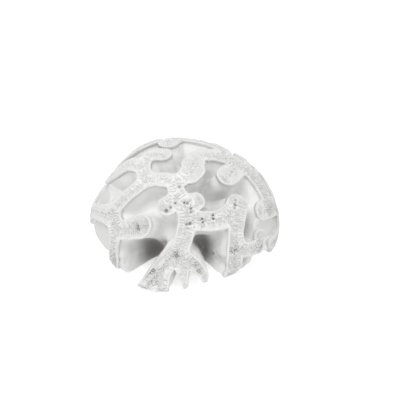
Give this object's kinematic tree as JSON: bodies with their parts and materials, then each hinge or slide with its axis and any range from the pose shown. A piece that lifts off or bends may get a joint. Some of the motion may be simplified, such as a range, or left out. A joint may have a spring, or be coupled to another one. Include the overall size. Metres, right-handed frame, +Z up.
{
  "type": "brain coral",
  "caption": "Domed white coral skeleton with thick wandering walls, a shallow trough along each crest, deep smooth valleys and a flat cut base.",
  "frame": {"origin": "middle of the flat cut on which the coral rests", "axes": "+Z up, from the flat cut towards the crown; -Y is the front, the side that the picture shows; +X is to the right of someone who looks at the front"},
  "size_m": [0.1655, 0.1726, 0.0849],
  "materials": {
    "coral_skeleton": "dry, matt, chalky bone white"
  },
  "bodies": {
    "root": {"coral": "coral_skeleton"}
  },
  "joints": []
}
